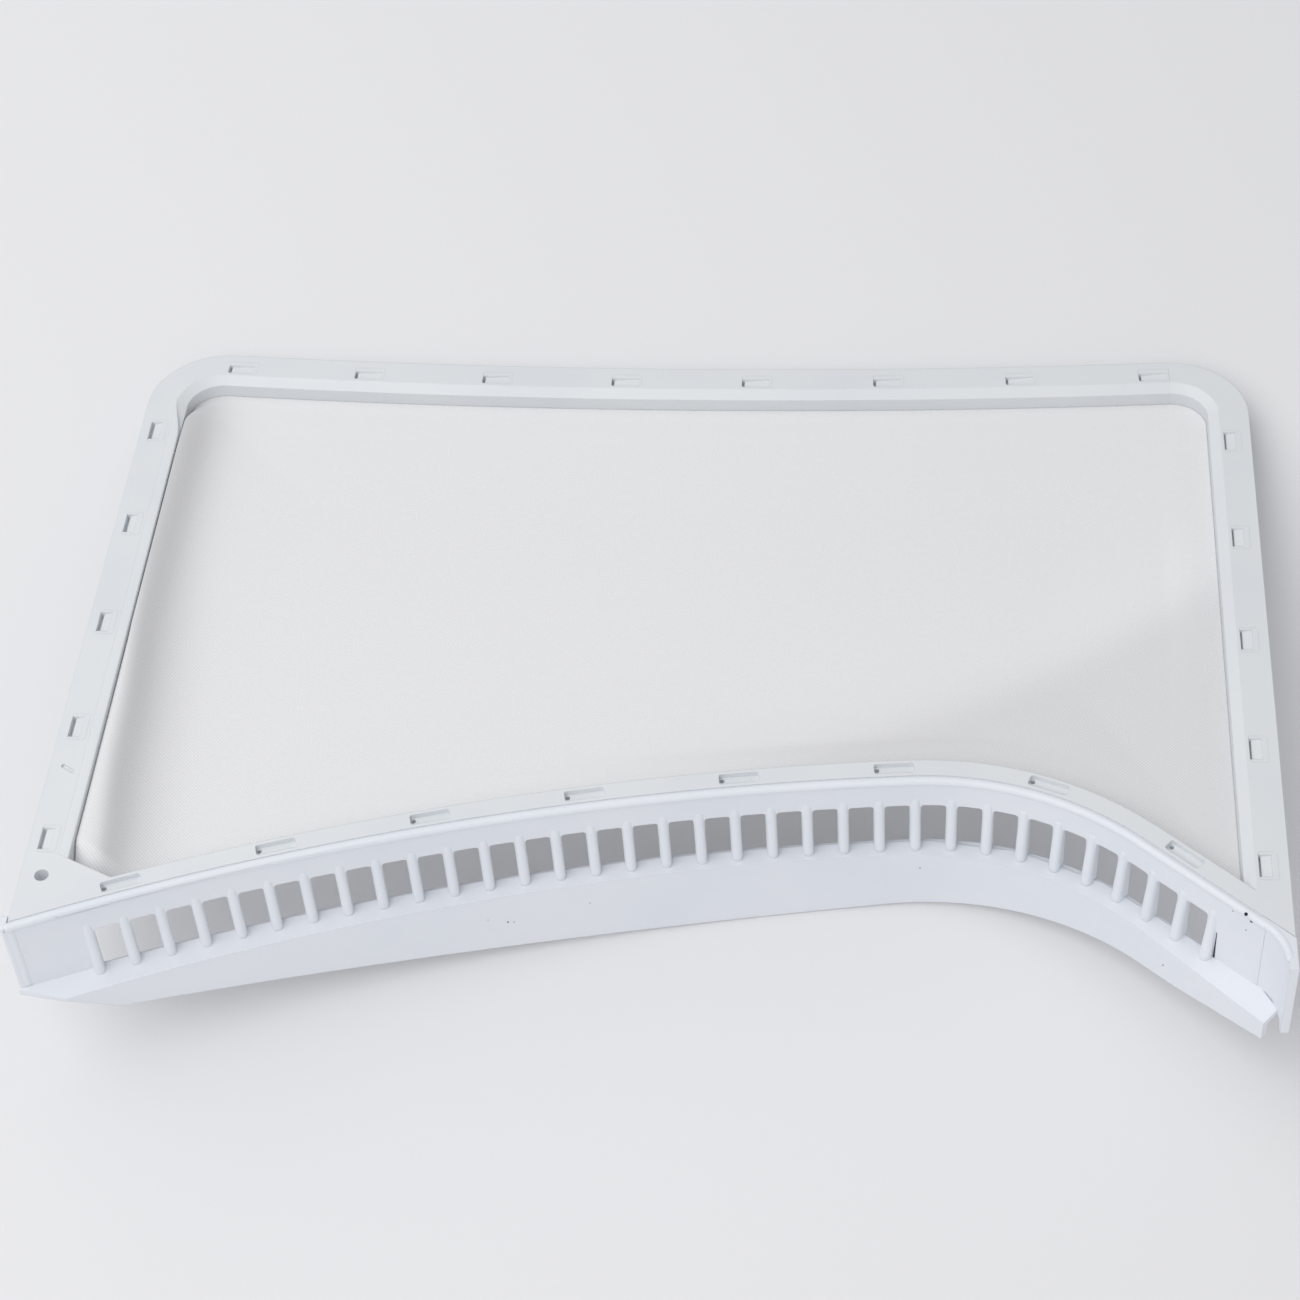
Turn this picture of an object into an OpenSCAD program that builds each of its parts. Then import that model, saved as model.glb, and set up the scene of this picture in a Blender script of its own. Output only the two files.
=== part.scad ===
// Tumble dryer lint filter: a flat frame with a fine mesh screen and a curved
// grille handle along its near edge. It is drawn flat first, in its own plane:
// X along the width, -Y toward the handle, Z = 0 on the frame's upper face and
// y = 0 at the middle of the far rail. rest_pose() then leans the whole filter
// as it lies on a table: far rail and lowest stretch of the handle on z = 0.

/* [Frame] */
// Width over the two side rails, mm
frame_w = 418.4; // [380:0.4:460]
// Far rail's outer edge to the left end of the handle wall, mm
frame_l = 275.4; // [260:0.1:300]
// Height of the rails, mm
rail_h = 9.5; // [8.5:0.1:12]
// Flat upper face of a rail, mm
rail_flat = 11.1; // [10.6:0.1:13]
// Width of the sloped inner edge, mm
bevel_w = 3.7; // [2.5:0.1:4.5]
// Drop of the sloped inner edge, mm
bevel_drop = 2.4; // [1:0.1:3]
// Radius on which the far rail bows toward the handle, mm
far_bow_r = 2778; // [2000:1:4000]
// Outer radius of the two far corners, mm
corner_r = 27.5; // [24:0.5:34]
// Depth of the handle-side flange of the frame, mm
flange_w = 6.8; // [6.2:0.1:9]
// Lip under the screen, mm
seat_w = 1.7; // [1.2:0.1:2.4]
// Thickness of that lip, mm
seat_t = 1.5; // [1:0.1:2]

/* [Gusset corner] */
// Start of the gusset's edge on the left rail, from y = 0, mm
gusset_at = 245.3; // [235:0.1:248]
// Length of the gusset's edge, mm
gusset_l = 21; // [19:0.5:24]
// Turn of the gusset's edge, degrees
gusset_turn = 25.3; // [20:0.1:30]
// Diameter of the round hole, mm
hole_d = 4.8; // [3:0.1:6]
// Hole centre from the outer edge of the left rail, mm
hole_in = 7.3; // [6:0.1:8.5]
// Hole centre from y = 0, mm
hole_at = 252.7; // [248:0.1:256]
// Length of the small slanted dent, mm
dent_l = 5.7; // [3:0.1:7]
// Width of the small slanted dent, mm
dent_w = 1.5; // [0.8:0.1:2]
// Depth of the small slanted dent, mm
dent_depth = 0.8; // [0.3:0.1:1.5]
// Dent centre from y = 0, mm
dent_at = 206.1; // [203:0.1:209]
// Turn of the dent, degrees
dent_turn = 33; // [0:1:60]

/* [Pockets] */
// Length of the blind pockets in the side and far rails, mm
pocket_l = 11.5; // [8:0.1:14]
// Width of these pockets, mm
pocket_w = 6.3; // [4:0.1:6.8]
// Depth of these pockets, mm
pocket_depth = 2.7; // [1:0.1:4]
// Corner radius of the pockets, mm
pocket_r = 0.8; // [0.4:0.1:1]
// Pocket centre line from the outer edge, mm
pocket_in = 6.7; // [6:0.1:7]
// Spacing of the pockets, mm
pocket_pitch = 50; // [40:0.5:52]
// First side pocket from y = 0, mm
pocket_first = 37; // [34:0.5:40]
// Pockets in the far rail
far_pockets = 8; // [2:1:8]
// Pockets in each side rail
side_pockets = 5; // [1:1:5]
// Length of the pockets in the flange, mm
slit_l = 13.5; // [8:0.5:16]
// Width of the pockets in the flange, mm
slit_w = 4.2; // [3:0.1:4.6]
// Depth of the pockets in the flange, mm
slit_depth = 1.8; // [1:0.1:3]
// Spacing of the pockets in the flange, mm
slit_pitch = 52.4; // [44:0.1:53]
// First flange pocket from the left end of the wall, mm
slit_first = 40.7; // [38.5:0.1:43.5]
// Pockets in the flange
slit_count = 8; // [2:1:8]
// Diameter of the small deep hole at a flange pocket's left end, mm
pin_d = 1.6; // [1:0.1:2]
// Depth of that hole, mm
pin_depth = 4; // [3.2:0.1:6]

/* [Handle wall] */
// Heading of the wall at its left end, degrees
wall_heading = 22.84; // [18:0.01:26]
// Radius of the long sweep of the wall, mm
long_r = 942; // [930:1:955]
// Turn of the long sweep, degrees
long_turn = 18.66; // [18.4:0.01:18.9]
// Radius of the bend near the right end, mm
bend_r = 103.2; // [99:0.1:108]
// Turn of the bend, degrees
bend_turn = 44.42; // [43:0.01:46]
// Thickness of the wall, mm
wall_t = 2.2; // [1.8:0.1:2.6]
// Height of the wall, mm
wall_h = 33.9; // [33.5:0.1:34]
// Radius of the rounded rim, mm
rim_r = 1.5; // [1.3:0.1:1.6]
// Rim's upper line above the frame, mm
rim_up = 0.4; // [0:0.1:0.8]
// Run of the left end's return along the rail, mm
return_l = 4; // [2:0.5:8]
// Radius of the hollow between wall and right end, mm
fillet_r = 18; // [15:0.5:20]
// Thickness of the right end wall, mm
end_t = 2.9; // [2.4:0.1:3.4]
// Right end wall's front edge from y = 0, mm
end_at = 279; // [277.5:0.1:283]
// Ledge under the flange, mm
ledge_w = 5.8; // [4:0.1:6.4]
// Thickness of the ledge, mm
ledge_t = 2; // [1.2:0.1:2.4]
// Gap between wall and frame, mm
fit_gap = 0.2; // [0.1:0.05:0.4]

/* [Windows and ribs] */
// Windows in the wall
window_count = 32; // [8:1:32]
// Spacing of the windows along the wall, mm
window_pitch = 12.25; // [11:0.05:12.4]
// Width of a window, mm
window_w = 8.5; // [6:0.1:8.6]
// Window's upper edge below the frame's upper face, mm
window_top = 13; // [12.5:0.1:16]
// Radius of a window's upper corners, mm
window_r = 1.2; // [0.6:0.1:2]
// Centre line of the first rib from the left end of the wall, mm
rib_first = 26; // [22:0.1:27.5]
// Width of a rib, mm
rib_w = 3.5; // [2:0.1:3.6]
// Rib's upper end below the frame's upper face, mm
rib_top = 9; // [7:0.1:10]
// How far a rib stands out at the shelf, mm
rib_out = 3.4; // [2.5:0.1:4]

/* [Shelf and band] */
// Lip line's left end from the left rail's outer edge, mm
lip_in = 14; // [12:0.1:16]
// Lip line's left end from y = 0, mm
lip_at = 278.7; // [278:0.1:280]
// Heading of the lip line at its left end, degrees
lip_heading = 23.11; // [22.5:0.01:23.6]
// Radius of the long sweep of the lip line, mm
lip_long_r = 920; // [910:1:930]
// Turn of the long sweep of the lip line, degrees
lip_long_turn = 17.65; // [17.4:0.01:17.9]
// Radius of the lip line's bend, mm
lip_bend_r = 108.3; // [106:0.1:110]
// Turn of the lip line's bend, degrees
lip_bend_turn = 49.54; // [48.5:0.01:50.5]
// Lip line below the frame's upper face, mm
lip_z = 34; // [33.9:0.1:35]
// Fall of the shelf toward its lip, degrees
shelf_fall = 9; // [6:0.5:12]
// Thickness of shelf and band, mm
shelf_t = 2.4; // [2.2:0.1:3]
// Lowest line of the band below the frame's upper face, mm
band_low = 63.6; // [60:0.1:70]
// Lowest line of the band from the middle of the frame, mm
band_low_x = 8.8; // [-10:0.1:20]
// Radius of the band's lower edge, mm
band_r = 1000; // [900:1:1300]
// Left cut of the band: height below the lip line, mm
cut_h = 12; // [8:0.5:16]
// Left cut of the band: run along the width, mm
cut_l = 16; // [10:0.5:24]
// Right cut of the band: slope, degrees
cut_slope = 17; // [10:0.5:30]
// Right cut's point on the width, from the middle, mm
cut_x = 169.8; // [160:0.1:180]
// Right cut's depth there below the frame's upper face, mm
cut_z = 50.6; // [48:0.1:54]
// Shelf's front end from y = 0, mm
shelf_at = 277.3; // [276:0.1:278.5]

/* [Screen] */
// Thickness of the mesh as a solid sheet, mm
mesh_t = 0.4; // [0.3:0.1:0.8]
// Gap round the mesh, mm
mesh_gap = 0.3; // [0.2:0.05:0.5]

/* [Hidden] */

half_w = frame_w / 2;
rail_w = rail_flat + bevel_w;
// Overlap that joins neighbouring solids, mm
bite = rail_h / 20;
// Short overlap of one swept stretch with the next, and the hair by which
// every second stretch is slimmer, so that no two faces lie in each other
lap = bite / 2;
hair = bite / 14;
// Reach of the cutting solids, mm
reach = frame_w / 8;
seat_z = rail_h - seat_t;

// Corner centres: tangent to the side rail and to the bowed far edge
corner_x = half_w - corner_r;
corner_y = far_bow_r - sqrt(pow(far_bow_r + corner_r, 2) - pow(corner_x, 2));
far_half = asin(corner_x / (far_bow_r + corner_r));
far_y = corner_y + corner_r;

// Left end of the wall, set so that its return clears the rail
face_x = half_w + fit_gap + wall_t;
wall_x = wall_t / 2 * (1 + sin(wall_heading)) - face_x;

// A line is [start, heading, first radius, first turn, second radius, second turn]
wall_line = [[wall_x, -frame_l], wall_heading, long_r, long_turn, bend_r, bend_turn];
lip_line = [[lip_in - half_w, -lip_at], lip_heading, lip_long_r, lip_long_turn,
            lip_bend_r, lip_bend_turn];

function along(h) = [cos(h), sin(h)];
function back(h) = [-sin(h), cos(h)];
function arc_len(r, t) = r * t * PI / 180;
function lap_turn(r) = lap / r * 180 / PI;
function hub1(l) = l[0] - l[2] * back(l[1]);
function mid1(l) = hub1(l) + l[2] * back(l[1] - l[3]);
function hub2(l) = mid1(l) - l[4] * back(l[1] - l[3]);
function last_heading(l) = l[1] - l[3] - l[5];
function mid2(l) = hub2(l) + l[4] * back(last_heading(l));
function len1(l, o) = arc_len(l[2] + o, l[3]);
function len2(l, o) = len1(l, o) + arc_len(l[4] + o, l[5]);
// Heading and point at the run s, on a line lying o behind line l
function heading(l, s, o) =
    s < len1(l, o) ? l[1] - s / (l[2] + o) * 180 / PI :
    s < len2(l, o) ? l[1] - l[3] - (s - len1(l, o)) / (l[4] + o) * 180 / PI :
    last_heading(l);
function spot(l, s, o) =
    s < len1(l, o) ? hub1(l) + (l[2] + o) * back(heading(l, s, o)) :
    s < len2(l, o) ? hub2(l) + (l[4] + o) * back(heading(l, s, o)) :
    mid2(l) + (s - len2(l, o)) * along(last_heading(l)) + o * back(last_heading(l));
// Run on the straight part at which a line lying o behind l reaches x
function run_to_x(l, x, o) =
    len2(l, o) + (x - mid2(l)[0] - o * back(last_heading(l))[0]) / along(last_heading(l))[0];

// Right end: the straight wall turns forward on fillet_r into the end wall
wall_last = last_heading(wall_line);
end_x = half_w + fit_gap;
inner_x = end_x - end_t;
fillet_x = inner_x - fillet_r;
fillet_run = run_to_x(wall_line, inner_x - fillet_r * (1 + sin(wall_last)), 0);
fillet_start = spot(wall_line, fillet_run, 0);
fillet_hub = fillet_start - fillet_r * back(wall_last);
straight_l = fillet_run - len2(wall_line, 0);
frame_run = run_to_x(wall_line, half_w + rail_w, 0) - len2(wall_line, 0);

// Band's lower edge at x, and the lean at which the filter rests
function band_z(x) = -band_low + band_r - sqrt(pow(band_r, 2) - pow(x - band_low_x, 2));
lip_end = len2(lip_line, 0);
rest_steps = 240;
rest_lean = max([for (k = [0:rest_steps])
    let (p = spot(lip_line, lip_end * k / rest_steps, shelf_t))
    atan2(-rail_h - band_z(p[0]), far_y - p[1])]);
rest_up = rail_h * cos(rest_lean) + far_y * sin(rest_lean);
rim_side = rim_r / 30;
rim_out = 2 * rim_r + rim_side - wall_t;
rest_x = (face_x + rim_out - end_x) / 2;
near_y = lip_at * cos(rest_lean) + (lip_z + shelf_t) * sin(rest_lean);
rest_y = (near_y - far_y * cos(rest_lean)) / 2;

module rest_pose() {
    translate([rest_x, rest_y, rest_up]) rotate([-rest_lean, 0, 0]) children();
}

// A section drawn as [forward, up] carried along a line's two arcs and its straight
// end. $slim is how much slimmer than its sizes the section is drawn
module sweep_arcs(l) {
    translate(hub1(l)) rotate([0, 0, 90 + l[1] - l[3]])
        rotate_extrude(angle = l[3], $fn = 1440)
            translate([l[2], 0]) mirror([1, 0]) let ($slim = 0) children();
    translate(hub2(l)) rotate([0, 0, 90 + last_heading(l) - lap_turn(l[4])])
        rotate_extrude(angle = l[5] + 2 * lap_turn(l[4]), $fn = 360)
            translate([l[4], 0]) mirror([1, 0]) let ($slim = hair) children();
}
module sweep_run(p, h, run, slim = 0) {
    translate(p) rotate([0, 0, h]) rotate([90, 0, 90])
        linear_extrude(height = run) mirror([1, 0]) let ($slim = slim) children();
}

// The left end of the wall: a rounded upright corner, then a return along the rail
module left_end() {
    post = wall_t / 2 - bite / 10;
    corner = wall_line[0] + wall_t / 2 * back(wall_heading);
    translate([corner[0], corner[1], -wall_h + bite / 10])
        cylinder(r = post, h = wall_h + rim_up - rim_r, $fn = 64);
    translate([corner[0] - wall_t / 2 + bite / 20, corner[1], -wall_h + bite / 5])
        cube([wall_t - bite / 10, return_l, wall_h + rim_up - bite / 2]);
    translate([corner[0], corner[1], rim_up - rim_r]) sphere(r = rim_r - bite / 20, $fn = 48);
}

// The section of a rail: u inward from the outer edge, then up
module rail_section() {
    e = $slim;
    polygon([[e, -e], [rail_flat - e / 2, -e], [rail_w - e, -bevel_drop - e / 2],
             [rail_w - e, -seat_z - e], [rail_w + seat_w - e, -seat_z - e],
             [rail_w + seat_w - e, e - rail_h], [e, e - rail_h]]);
}

module rails() {
    translate([0, far_bow_r]) rotate([0, 0, -90 - far_half])
        rotate_extrude(angle = 2 * far_half, $fn = 2880)
            translate([far_bow_r, 0]) let ($slim = 0) rail_section();
    for (side = [0, 1]) mirror([side, 0, 0]) {
        turn = lap_turn(corner_r);
        translate([-corner_x, corner_y]) rotate([0, 0, 90 - far_half - turn])
            rotate_extrude(angle = 90 + far_half + 2 * turn, $fn = 180)
                translate([corner_r, 0]) mirror([1, 0]) let ($slim = hair) rail_section();
        translate([-half_w, corner_y]) rotate([90, 0, 0])
            linear_extrude(height = frame_l + corner_r / 2 + corner_y)
                let ($slim = 0) rail_section();
    }
}

module flange() {
    inner = wall_t + fit_gap + flange_w;
    module section() {
        e = $slim;
        polygon([[bite - wall_t - e, -e], [e - inner, -e], [e - inner, -seat_z - e],
                 [e - inner - seat_w, -seat_z - e], [e - inner - seat_w, e - rail_h],
                 [bite - wall_t - e, e - rail_h]]);
    }
    intersection() {
        union() {
            sweep_arcs(wall_line) section();
            sweep_run(mid2(wall_line), wall_last, frame_run) section();
        }
        translate([rail_flat / 2 - half_w, -2 * frame_l, -2 * rail_h])
            cube([frame_w - rail_flat, 2 * frame_l, 3 * rail_h]);
    }
}

module gusset() {
    foot = [rail_w - half_w, -gusset_at];
    turn = along(-gusset_turn);
    a = foot - rail_flat / 2 * turn;
    b = foot + gusset_l * turn;
    drop = frame_l - gusset_at - wall_t - bite;
    for (part = [[0, 0], [seat_w, seat_z]])
        translate([0, 0, -rail_h])
            linear_extrude(height = rail_h - part[1])
                translate(part[0] * back(-gusset_turn))
                    polygon([a, b, b - [0, flange_w / 2], [a[0], foot[1] - drop + part[0] * 2]]);
}

module rounded_bar(l, w, r) {
    square([l - 2 * r, w], center = true);
    square([l, w - 2 * r], center = true);
    for (x = [-1, 1], y = [-1, 1])
        translate([x * (l / 2 - r), y * (w / 2 - r)]) circle(r = r, $fn = 32);
}
module pocket(l, w, depth) {
    translate([0, 0, -depth]) linear_extrude(height = depth + bite) rounded_bar(l, w, pocket_r);
}

module frame_cuts() {
    for (k = [0:far_pockets - 1]) {
        turn = asin((k - (far_pockets - 1) / 2) * pocket_pitch / (far_bow_r + pocket_in));
        translate([0, far_bow_r]) rotate([0, 0, turn])
            translate([0, -far_bow_r - pocket_in]) pocket(pocket_l, pocket_w, pocket_depth);
    }
    for (side = [-1, 1], k = [0:side_pockets - 1])
        translate([side * (half_w - pocket_in), -pocket_first - k * pocket_pitch])
            rotate([0, 0, 90]) pocket(pocket_l, pocket_w, pocket_depth);
    // Flange pockets, each with a deep pin hole at its left end
    middle = wall_t + fit_gap + flange_w / 2;
    for (k = [0:slit_count - 1]) {
        s = slit_first + k * slit_pitch;
        translate(spot(wall_line, s, middle)) rotate([0, 0, heading(wall_line, s, middle)]) {
            pocket(slit_l, slit_w, slit_depth);
            translate([(pin_d - slit_l) / 2 + pocket_r / 4, (slit_w - pin_d) / 4, -pin_depth])
                cylinder(d = pin_d, h = pin_depth, $fn = 32);
        }
    }
    translate([hole_in - half_w, -hole_at, -rail_h - bite])
        cylinder(d = hole_d, h = rail_h + 2 * bite, $fn = 64);
    translate([pocket_in - half_w, -dent_at]) rotate([0, 0, -dent_turn])
        translate([0, 0, -dent_depth]) linear_extrude(height = dent_depth + bite)
            rounded_bar(dent_l, dent_w, dent_w / 3);
}

// Everything in front of the wall's back face, with the fit gap
module frame_trim() {
    module section() {
        translate([$slim - wall_t - fit_gap, $slim - rail_h - bite])
            square([reach - 2 * $slim, rail_h + 2 * bite - 2 * $slim]);
    }
    sweep_arcs(wall_line) section();
    sweep_run(mid2(wall_line), wall_last, frame_run) section();
    sweep_run(wall_line[0] - rail_w * along(wall_heading), wall_heading, rail_w + lap, hair)
        section();
    // Room for the upright corner
    translate([wall_line[0][0], wall_line[0][1], -rail_h - bite])
        cylinder(r = wall_t + 2 * fit_gap, h = rail_h + 2 * bite, $fn = 64);
}

module mesh_frame() {
    rest_pose() color([0.9, 0.91, 0.93]) difference() {
        union() {
            rails();
            flange();
            gusset();
        }
        frame_trim();
        frame_cuts();
    }
}

module wall_section() {
    e = $slim;
    translate([e - wall_t, e - wall_h]) square([wall_t - 2 * e, wall_h + rim_up - rim_r]);
    translate([rim_r - wall_t + rim_side, rim_up - rim_r]) circle(r = rim_r - e, $fn = 48);
}

module ledge_section() {
    e = $slim;
    translate([e - wall_t - ledge_w, e - rail_h - ledge_t])
        square([ledge_w + wall_t / 2 - 2 * e, ledge_t - 2 * e]);
}

module window() {
    depth = 4 * wall_t;
    rise = wall_h - window_top - bite / 2;
    rotate([90, 0, 0]) translate([0, -window_top - rise, -depth / 2]) linear_extrude(height = depth) {
        translate([-window_w / 2, 0]) square([window_w, rise - window_r]);
        translate([window_r - window_w / 2, 0]) square([window_w - 2 * window_r, rise]);
        for (x = [-1, 1]) translate([x * (window_w / 2 - window_r), rise - window_r])
            circle(r = window_r, $fn = 32);
    }
}

// A rib leans out of the wall: flat flanks and a nose rounded in a few flats
module rib() {
    rib_r = rib_w / 2;
    top = [-rib_r - bite / 5, -rib_top];
    foot = [rib_out - rib_r, -wall_h];
    lean = atan2(foot[0] - top[0], top[1] - foot[1]);
    flats = 6;
    intersection() {
        translate([0, -top[0], top[1]]) rotate([180 - lean, 0, 0])
            linear_extrude(height = norm(foot - top))
                polygon(concat([[rib_r, -rib_out - wall_t]],
                    [for (k = [0:flats]) rib_r * along(180 * k / flats)],
                    [[-rib_r, -rib_out - wall_t]]));
        translate([-rib_w, -reach / 2, -wall_h - wall_t])
            cube([2 * rib_w, reach / 2 + wall_t / 2, wall_h]);
    }
}

// Right end: the wall turns forward in a hollow and ends in a short end wall
module end_block() {
    back_start = spot(wall_line, fillet_run - bite, wall_t - bite / 5);
    back_end = spot(wall_line, run_to_x(wall_line, end_x, wall_t - bite / 5), wall_t - bite / 5);
    difference() {
        translate([0, 0, bite / 5 - wall_h]) linear_extrude(height = wall_h + rim_up / 2)
            polygon([back_start, back_end, [end_x, -end_at], [inner_x, -end_at],
                     [inner_x, fillet_hub[1]], fillet_hub, fillet_start - bite * along(wall_last)]);
        translate([fillet_hub[0], fillet_hub[1], -wall_h - bite])
            cylinder(r = fillet_r + bite / 4, h = wall_h + 3 * bite, $fn = 180);
    }
}

// Plan of the shelf: from the middle of the wall's thickness to well past the lip
module shelf_plan() {
    chords = 14;
    run = fillet_run;
    left = wall_line[0] - wall_t * along(wall_heading);
    polygon(concat(
        [left],
        [for (k = [0:chords]) spot(wall_line, run * k / chords, wall_t / 2)],
        [[end_x - bite / 5, fillet_hub[1]], [end_x - bite / 5, -shelf_at],
         [lip_line[0][0] + shelf_at / 4, -shelf_at - lip_in], lip_line[0] - [0, lip_in / 2],
         lip_line[0]]));
}

// Front view of shelf and band: cut ends and a lower edge on a large radius
module band_front() {
    left = lip_line[0][0];
    right = cut_x + (cut_z - lip_z) / tan(cut_slope);
    intersection() {
        polygon([[left - 2 * cut_l, 0], [left - 2 * cut_l, -lip_z - shelf_t / 2],
                 [left, -lip_z - shelf_t / 2], [left + cut_l, -lip_z - cut_h],
                 [left + 3 * cut_l, -lip_z - 3 * cut_h], [cut_x - cut_l, -band_low - cut_h],
                 [cut_x - cut_l, -cut_z - cut_l * tan(cut_slope)], [right, -lip_z - shelf_t],
                 [right + cut_l, -lip_z - shelf_t], [right + cut_l, 0]]);
        translate([band_low_x, band_r - band_low]) circle(r = band_r, $fn = 1440);
    }
}

module shelf_and_band() {
    depth = lip_in;
    fall = tan(shelf_fall);
    module section() {
        e = $slim;
        polygon([[-e, -lip_z - e], [-depth + e, depth * fall - lip_z - e],
                 [-depth + e, depth * fall - lip_z - shelf_t + e],
                 [-shelf_t + e, shelf_t * fall - lip_z - shelf_t + e],
                 [-shelf_t + e, -band_low - bite], [-e, -band_low - bite]]);
    }
    intersection() {
        union() {
            sweep_arcs(lip_line) section();
            sweep_run(mid2(lip_line), last_heading(lip_line), reach) section();
            sweep_run(lip_line[0] - lip_in * along(lip_heading), lip_heading,
                      lip_in + lap, hair) section();
        }
        translate([0, 0, -2 * band_low]) linear_extrude(height = 2 * band_low) shelf_plan();
        translate([0, reach - frame_l / 2, 0]) rotate([90, 0, 0])
            linear_extrude(height = frame_l) band_front();
    }
}

module grille_handle() {
    rest_pose() color([0.88, 0.9, 0.93]) union() {
        difference() {
            union() {
                sweep_arcs(wall_line) wall_section();
                sweep_run(mid2(wall_line), wall_last, straight_l) wall_section();
            }
            for (k = [0:window_count - 1]) {
                s = rib_first + (k + 1 / 2) * window_pitch;
                translate(spot(wall_line, s, 0)) rotate([0, 0, heading(wall_line, s, 0)]) window();
            }
        }
        sweep_arcs(wall_line) ledge_section();
        sweep_run(mid2(wall_line), wall_last, straight_l) ledge_section();
        for (k = [0:window_count]) {
            s = rib_first + k * window_pitch;
            translate(spot(wall_line, s, 0)) rotate([0, 0, heading(wall_line, s, 0)]) rib();
        }
        left_end();
        end_block();
        shelf_and_band();
    }
}

// The screen lies on the lip of rails and flange, clear of their inner faces
module mesh_screen() {
    inset = rail_w + mesh_gap;
    off = wall_t + fit_gap + flange_w + mesh_gap;
    x_in = half_w - inset;
    turn = along(-gusset_turn);
    foot = [-x_in, -gusset_at] + mesh_gap * [0, 2];
    steps = 48;
    s_right = run_to_x(wall_line, x_in, off);
    // The flange line meets the gusset's edge at the run where it lies on that edge
    s_left = max([for (k = [0:steps]) let (s = slit_first * k / steps,
        p = spot(wall_line, s, off) - foot) p * back(-gusset_turn) < 0 ? s : 0]);
    outline = concat(
        [foot],
        [for (k = [0:8]) [-corner_x, corner_y]
            + (corner_r - inset) * along(180 - k / 8 * (90 + far_half))],
        [for (k = [1:steps - 1]) [0, far_bow_r]
            + (far_bow_r + inset) * along(-90 - far_half + 2 * far_half * k / steps)],
        [for (k = [8:-1:0]) [corner_x, corner_y]
            + (corner_r - inset) * along(k / 8 * (90 + far_half))],
        [for (k = [2 * steps:-1:1]) spot(wall_line, s_left + (s_right - s_left) * k / steps / 2, off)],
        [foot + gusset_l * turn * 7 / 8]);
    rest_pose() color([0.93, 0.92, 0.9]) translate([0, 0, -seat_z])
        linear_extrude(height = mesh_t) polygon(outline);
}

mesh_frame();
grille_handle();
mesh_screen();
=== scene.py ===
"""Tumble dryer lint filter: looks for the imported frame, handle and screen.

The CAD model gives the moulded frame and the slotted grille handle. This script
dresses them in moulded plastic, lays a slack woven screen over the CAD sheet,
and sets up a pale studio with the photograph's camera. Lengths in the classes
are millimetres in the filter's own flat plane: X along the width, -Y toward the
handle, Z = 0 on the frame's upper face, y = 0 at the middle of the far rail.
RestPose turns them into the world's metres.
"""

import logging
import math
from dataclasses import dataclass
from enum import Enum

import bmesh
import bpy
import numpy as np
from mathutils import Matrix, Vector

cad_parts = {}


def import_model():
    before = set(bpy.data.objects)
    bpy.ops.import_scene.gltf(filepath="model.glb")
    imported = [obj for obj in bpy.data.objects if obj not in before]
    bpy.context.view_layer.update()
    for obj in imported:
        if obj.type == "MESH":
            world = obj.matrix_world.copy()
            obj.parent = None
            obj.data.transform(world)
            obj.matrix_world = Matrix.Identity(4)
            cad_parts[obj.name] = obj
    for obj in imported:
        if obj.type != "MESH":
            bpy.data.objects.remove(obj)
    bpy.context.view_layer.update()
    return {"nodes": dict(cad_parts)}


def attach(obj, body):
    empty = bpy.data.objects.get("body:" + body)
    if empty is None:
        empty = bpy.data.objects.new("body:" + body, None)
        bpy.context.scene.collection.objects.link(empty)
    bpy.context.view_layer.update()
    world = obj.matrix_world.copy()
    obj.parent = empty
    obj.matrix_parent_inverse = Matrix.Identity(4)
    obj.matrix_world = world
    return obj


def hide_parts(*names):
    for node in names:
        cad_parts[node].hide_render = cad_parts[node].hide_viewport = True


LOG = logging.getLogger("lint_filter")
MM = 0.001


class Slot(Enum):
    """The record's material slots."""

    FRAME = "frame_plastic"
    HANDLE = "handle_plastic"
    SCREEN = "screen_mesh"


@dataclass(frozen=True)
class RestPose:
    """How the flat filter leans on the table.

    The far rail's lower outer edge and the lowest stretch of the handle's band
    both lie on z = 0.
    """

    lean_deg: float = 13.8789
    shift: tuple[float, float, float] = (1.525, 136.788, 10.6355)

    def to_world(self, points: np.ndarray) -> np.ndarray:
        """Turns flat points about X by the lean and moves them onto the table.

        Args:
            points: array (..., 3), millimetres in the flat plane.

        Returns:
            Array (..., 3), metres in the world.
        """
        lean = math.radians(self.lean_deg)
        c, s = math.cos(lean), math.sin(lean)
        turn = np.array([[1, 0, 0], [0, c, s], [0, -s, c]])
        return (points @ turn.T + np.array(self.shift)) * MM


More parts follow.
